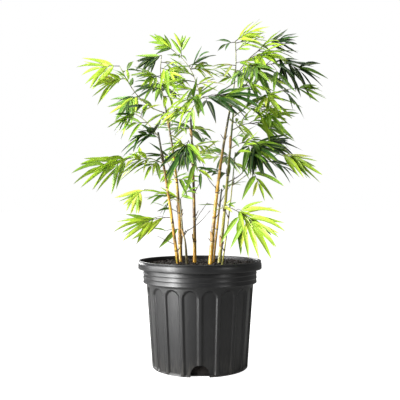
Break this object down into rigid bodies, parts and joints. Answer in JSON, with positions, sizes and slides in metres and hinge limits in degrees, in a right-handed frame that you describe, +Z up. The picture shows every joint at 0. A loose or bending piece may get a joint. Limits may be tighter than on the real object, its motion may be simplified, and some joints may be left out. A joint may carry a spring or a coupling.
{
  "type": "potted bamboo",
  "caption": "A clump of upright canes with drooping sprays of narrow leaves, growing in a round black nursery pot with arched flutes and drain notches.",
  "frame": {"origin": "middle of the pot's flat underside", "axes": "+Z up, along the canes; the front faces -Y and its right is +X; one drain notch faces -Y and the other +Y"},
  "size_m": [0.5809, 0.4182, 0.7942],
  "materials": {
    "pot_plastic": "satin",
    "potting_mix": "rough",
    "culm_gold": "satin",
    "culm_olive": "satin",
    "bough": "satin",
    "leaf_lime": "satin",
    "leaf_fresh": "satin",
    "leaf_deep": "satin",
    "leaf_yellow": "satin"
  },
  "bodies": {
    "root": {"pot": "pot_plastic", "soil": "potting_mix", "culm_centre": "culm_gold", "culm_left_inner": "culm_gold", "culm_left_outer": "culm_gold", "culm_left_short": "culm_gold", "culm_right_olive": "culm_olive", "culm_right_short": "culm_gold", "culm_right_tall": "culm_gold", "culm_right_thin": "culm_olive", "bough_back_mid": "bough", "bough_centre_arch": "bough", "bough_front_mid": "bough", "bough_leader": "bough", "bough_left_high": "bough", "bough_left_long": "bough", "bough_left_low": "bough", "bough_left_mid": "bough", "bough_left_top": "bough", "bough_right_back": "bough", "bough_right_centre": "bough", "bough_right_fork": "bough", "bough_right_high": "bough", "bough_right_low": "bough", "bough_right_mid": "bough", "bough_top_right": "bough", "bough_whip": "bough", "leaves_apex_centre": "leaf_yellow", "leaves_apex_left": "leaf_fresh", "leaves_apex_right": "leaf_lime", "leaves_back_drooping": "leaf_fresh", "leaves_centre_back": "leaf_fresh", "leaves_front_drooping": "leaf_deep", "leaves_front_high": "leaf_lime", "leaves_hub_back": "leaf_fresh", "leaves_hub_long": "leaf_deep", "leaves_left_back_high": "leaf_deep", "leaves_left_basal": "leaf_lime", "leaves_left_drooping": "leaf_lime", "leaves_left_front": "leaf_lime", "leaves_left_inner_dark": "leaf_deep", "leaves_left_long": "leaf_lime", "leaves_left_low": "leaf_lime", "leaves_left_middle": "leaf_fresh", "leaves_left_upper": "leaf_fresh", "leaves_right_back_high": "leaf_fresh", "leaves_right_basal": "leaf_lime", "leaves_right_drooping": "leaf_lime", "leaves_right_far": "leaf_fresh", "leaves_right_hanging": "leaf_deep", "leaves_right_inner": "leaf_fresh", "leaves_right_level": "leaf_deep", "leaves_right_long": "leaf_deep", "leaves_right_lower": "leaf_lime", "leaves_right_middle": "leaf_fresh", "leaves_top_left_dark": "leaf_deep", "leaves_top_left_far": "leaf_yellow", "leaves_top_left_near": "leaf_yellow", "leaves_top_right_broad": "leaf_lime", "leaves_top_right_dark": "leaf_deep"}
  },
  "joints": []
}
